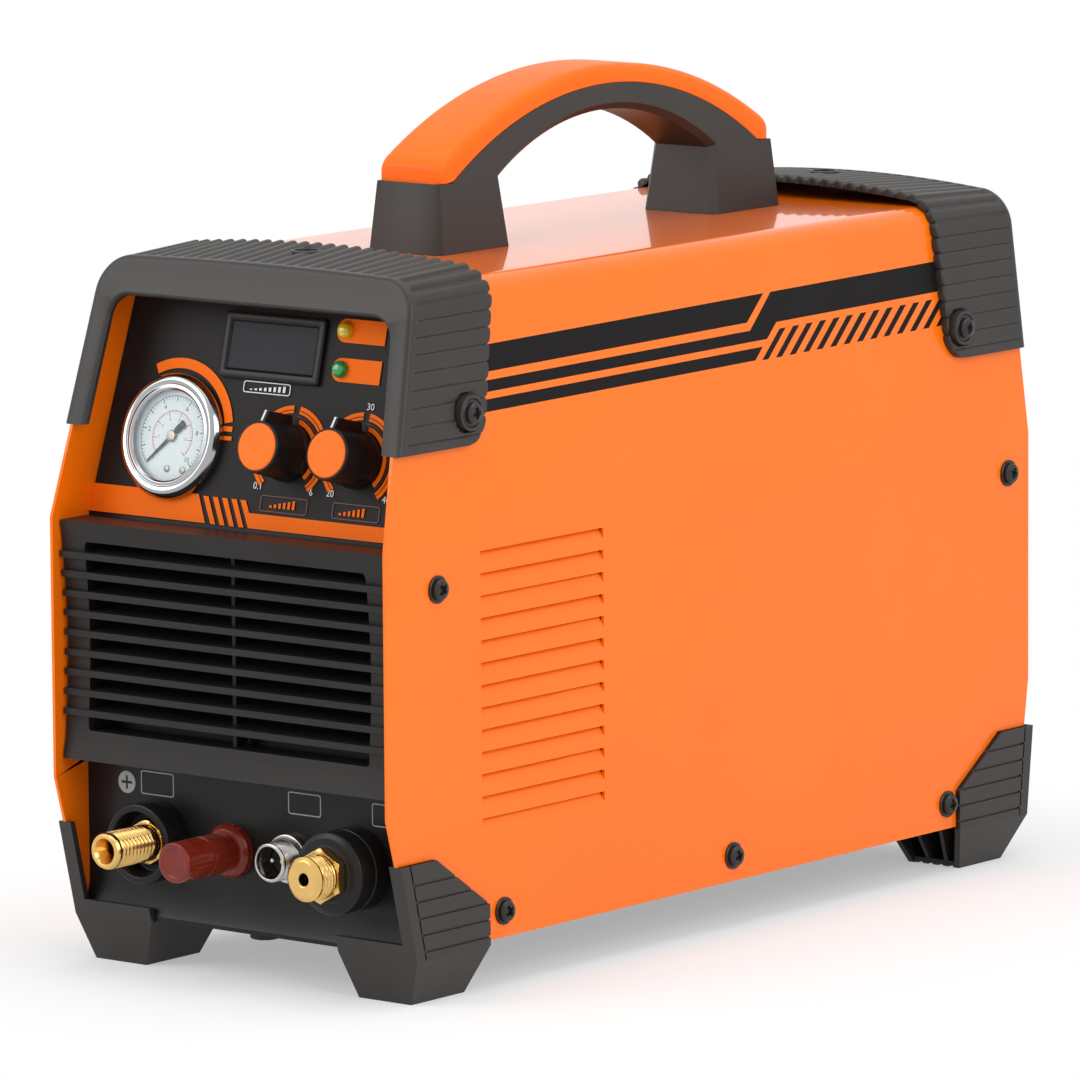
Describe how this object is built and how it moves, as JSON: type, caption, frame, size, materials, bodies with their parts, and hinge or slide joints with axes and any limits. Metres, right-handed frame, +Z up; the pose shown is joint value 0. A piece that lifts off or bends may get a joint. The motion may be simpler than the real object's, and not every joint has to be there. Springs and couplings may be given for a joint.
{
  "type": "plasma cutter unit",
  "caption": "Portable air plasma cutter: sheet case with louvred grille, gauge, display, knobs, torch connectors, corner guards, feet and a top handle.",
  "frame": {"origin": "bottom centre of the whole unit, on the floor under the feet", "axes": "+X to the right seen from the front, +Y from front to back, +Z up"},
  "size_m": [0.1568, 0.4026, 0.303],
  "materials": {
    "orange_paint": "gloss powder coat",
    "black_paint": "semi-gloss powder coat",
    "overlay_film": "printed film, satin",
    "charcoal_plastic": "moulded, fine spark texture",
    "orange_plastic": "moulded, satin",
    "black_plastic": "moulded, semi-gloss",
    "black_rubber": "matt",
    "chrome": "polished",
    "dial_face": "printed white",
    "clear_glass": "clear",
    "smoked_window": "smoked, glossy",
    "yellow_lamp": "translucent",
    "green_lamp": "translucent",
    "steel": "zinc plated",
    "black_steel": "black oxide",
    "brass": "turned, bright",
    "nickel_plate": "satin nickel",
    "red_phenolic": "moulded, glossy",
    "circuit_board": "solder mask",
    "aluminium": "extruded",
    "capacitor_sleeve": "shrunk sleeve",
    "ferrite": "sintered",
    "copper_winding": "enamelled wire"
  },
  "bodies": {
    "case": {"air_inlet": "brass", "base_plug": "black_rubber", "base_tray": "black_paint", "cable_gland": "black_plastic", "capacitors": "capacitor_sleeve", "control_overlay": "overlay_film", "cover": "orange_paint", "display_bezel": "black_plastic", "display_window": "smoked_window", "fan_frame": "black_plastic", "front_grille": "charcoal_plastic", "front_guard": "charcoal_plastic", "front_left_foot": "charcoal_plastic", "front_panel": "black_paint", "front_right_foot": "charcoal_plastic", "gas_valve": "steel", "gauge_bezel": "chrome", "gauge_case": "black_plastic", "gauge_dial": "dial_face", "gauge_lens": "clear_glass", "gland_nut": "black_plastic", "guard_screws": "black_steel", "handle_base": "charcoal_plastic", "handle_grip": "orange_plastic", "handle_plugs": "orange_plastic", "heat_sinks": "aluminium", "left_fitting": "brass", "left_potentiometer": "steel", "left_socket": "black_plastic", "power_board": "circuit_board", "power_lamp": "green_lamp", "power_switch_body": "black_plastic", "rear_guard": "charcoal_plastic", "rear_left_foot": "charcoal_plastic", "rear_panel": "black_paint", "rear_right_foot": "charcoal_plastic", "right_fitting": "brass", "right_potentiometer": "steel", "right_socket": "black_plastic", "side_screws": "black_steel", "signal_socket_insert": "black_plastic", "signal_socket_pins": "nickel_plate", "signal_socket_shell": "nickel_plate", "terminal_base": "red_phenolic", "terminal_stud": "brass", "transformer_coil": "copper_winding", "transformer_core": "ferrite", "warning_lamp": "yellow_lamp"},
    "left_knob_set": {"left_knob": "black_plastic", "left_knob_cap": "orange_plastic", "left_knob_shaft": "steel"},
    "right_knob_set": {"right_knob": "black_plastic", "right_knob_cap": "orange_plastic", "right_knob_shaft": "steel"},
    "needle_set": {"gauge_needle": "black_paint"},
    "terminal_cap_set": {"terminal_cap": "red_phenolic"},
    "rotor_set": {"fan_rotor": "black_plastic"},
    "rocker_set": {"power_switch_rocker": "black_plastic"}
  },
  "joints": [
    {"name": "left_knob_turn", "type": "hinge", "parent": "case", "child": "left_knob_set", "pos_m": [0.0124, -0.16138, 0.18342], "axis": [0, -0.9713, 0.238], "range_deg": [-150, 150]},
    {"name": "right_knob_turn", "type": "hinge", "parent": "case", "child": "right_knob_set", "pos_m": [0.0432, -0.16138, 0.18342], "axis": [0, -0.9713, 0.238], "range_deg": [-150, 150]},
    {"name": "gauge_needle_swing", "type": "hinge", "parent": "case", "child": "needle_set", "pos_m": [-0.0395, -0.161, 0.18497], "axis": [0, -0.9713, 0.238], "range_deg": [-270, 0], "stiffness_Nm_per_rad": 0.00002},
    {"name": "terminal_cap_turn", "type": "hinge", "parent": "case", "child": "terminal_cap_set", "pos_m": [-0.008, -0.17005, 0.045], "axis": [0, -1, 0], "range_deg": [0, 720]},
    {"name": "fan_spin", "type": "hinge", "parent": "case", "child": "rotor_set", "pos_m": [0.012, 0.17395, 0.112], "axis": [0, 1, 0], "continuous": true},
    {"name": "power_switch_rock", "type": "hinge", "parent": "case", "child": "rocker_set", "pos_m": [-0.044, 0.17275, 0.205], "axis": [1, 0, 0], "range_deg": [0, 20]}
  ]
}
